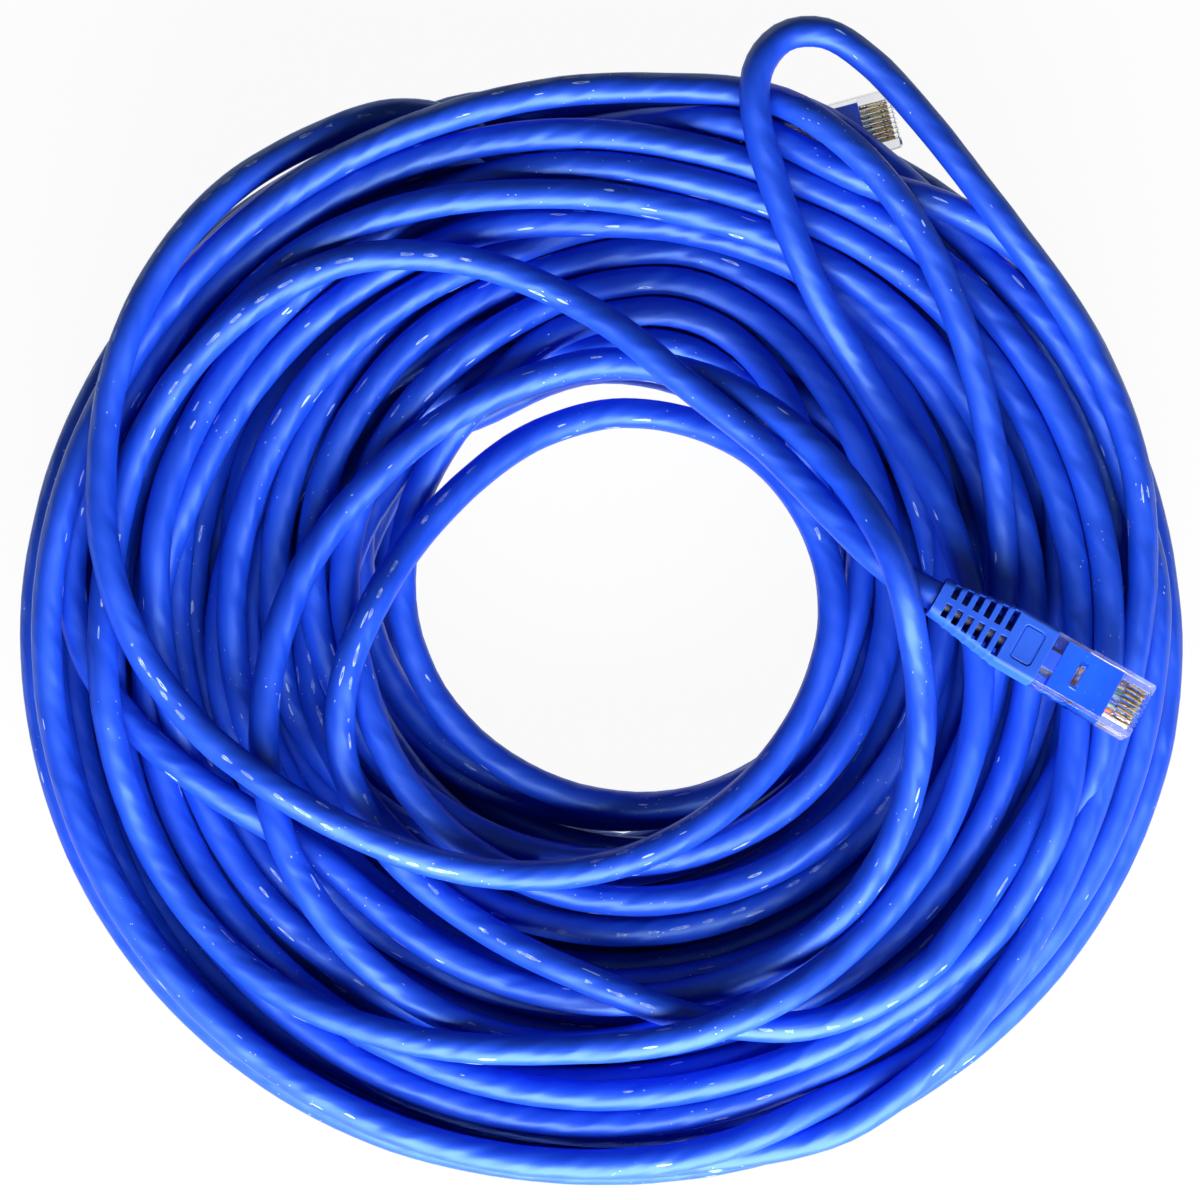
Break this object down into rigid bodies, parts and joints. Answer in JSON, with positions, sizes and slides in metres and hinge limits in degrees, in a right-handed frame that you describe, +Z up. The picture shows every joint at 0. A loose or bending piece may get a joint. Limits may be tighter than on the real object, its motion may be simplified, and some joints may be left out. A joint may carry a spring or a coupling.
{
  "type": "ethernet patch cable",
  "caption": "Long blue ethernet patch cord wound in a loose round coil, with a snagless clear modular plug on each end.",
  "frame": {"origin": "bottom centre of the coil with its plugs, on the surface that it lies on", "axes": "+Z up, square to the surface that the coil lies on; +X towards the side where the upper plug points; +Y towards the side where the lower plug lies"},
  "size_m": [0.229, 0.2287, 0.0587],
  "materials": {
    "cord_jacket": "satin blue PVC",
    "boot_plastic": "soft matte blue PVC",
    "clear_plastic": "clear polycarbonate",
    "gold_contact": "gold plated",
    "white_plastic": "plain",
    "wire_white_orange": "smooth insulation",
    "wire_orange": "smooth insulation",
    "wire_white_green": "smooth insulation",
    "wire_blue": "smooth insulation",
    "wire_white_blue": "smooth insulation",
    "wire_green": "smooth insulation",
    "wire_white_brown": "smooth insulation",
    "wire_brown": "smooth insulation"
  },
  "bodies": {
    "cable": {"coil_turns": "cord_jacket", "coil_core": "cord_jacket", "lead_a": "cord_jacket", "lead_b": "cord_jacket", "housing_a": "clear_plastic", "boot_a": "boot_plastic", "inner_mould_a": "boot_plastic", "jacket_end_a": "cord_jacket", "separator_a": "white_plastic", "wire_guide_a": "clear_plastic", "contact_a1": "gold_contact", "contact_a2": "gold_contact", "contact_a3": "gold_contact", "contact_a4": "gold_contact", "contact_a5": "gold_contact", "contact_a6": "gold_contact", "contact_a7": "gold_contact", "contact_a8": "gold_contact", "wire_a1": "wire_white_orange", "wire_a2": "wire_orange", "wire_a3": "wire_white_green", "wire_a4": "wire_blue", "wire_a5": "wire_white_blue", "wire_a6": "wire_green", "wire_a7": "wire_white_brown", "wire_a8": "wire_brown", "housing_b": "clear_plastic", "boot_b": "boot_plastic", "inner_mould_b": "boot_plastic", "jacket_end_b": "cord_jacket", "separator_b": "white_plastic", "wire_guide_b": "clear_plastic", "contact_b1": "gold_contact", "contact_b2": "gold_contact", "contact_b3": "gold_contact", "contact_b4": "gold_contact", "contact_b5": "gold_contact", "contact_b6": "gold_contact", "contact_b7": "gold_contact", "contact_b8": "gold_contact", "wire_b1": "wire_white_orange", "wire_b2": "wire_orange", "wire_b3": "wire_white_green", "wire_b4": "wire_blue", "wire_b5": "wire_white_blue", "wire_b6": "wire_green", "wire_b7": "wire_white_brown", "wire_b8": "wire_brown"},
    "latch_a": {"latch_a": "clear_plastic"},
    "latch_b": {"latch_b": "clear_plastic"}
  },
  "joints": [
    {"name": "latch_a_press", "type": "hinge", "parent": "cable", "child": "latch_a", "pos_m": [0.1025, -0.02015, 0.05073], "axis": [0.4951, 0.8576, -0.1392], "range_deg": [0, 9], "stiffness_Nm_per_rad": 0.25},
    {"name": "latch_b_press", "type": "hinge", "parent": "cable", "child": "latch_b", "pos_m": [0.056, 0.09619, 0.03653], "axis": [-0.2563, 0.9565, 0.1392], "range_deg": [0, 9], "stiffness_Nm_per_rad": 0.25}
  ]
}
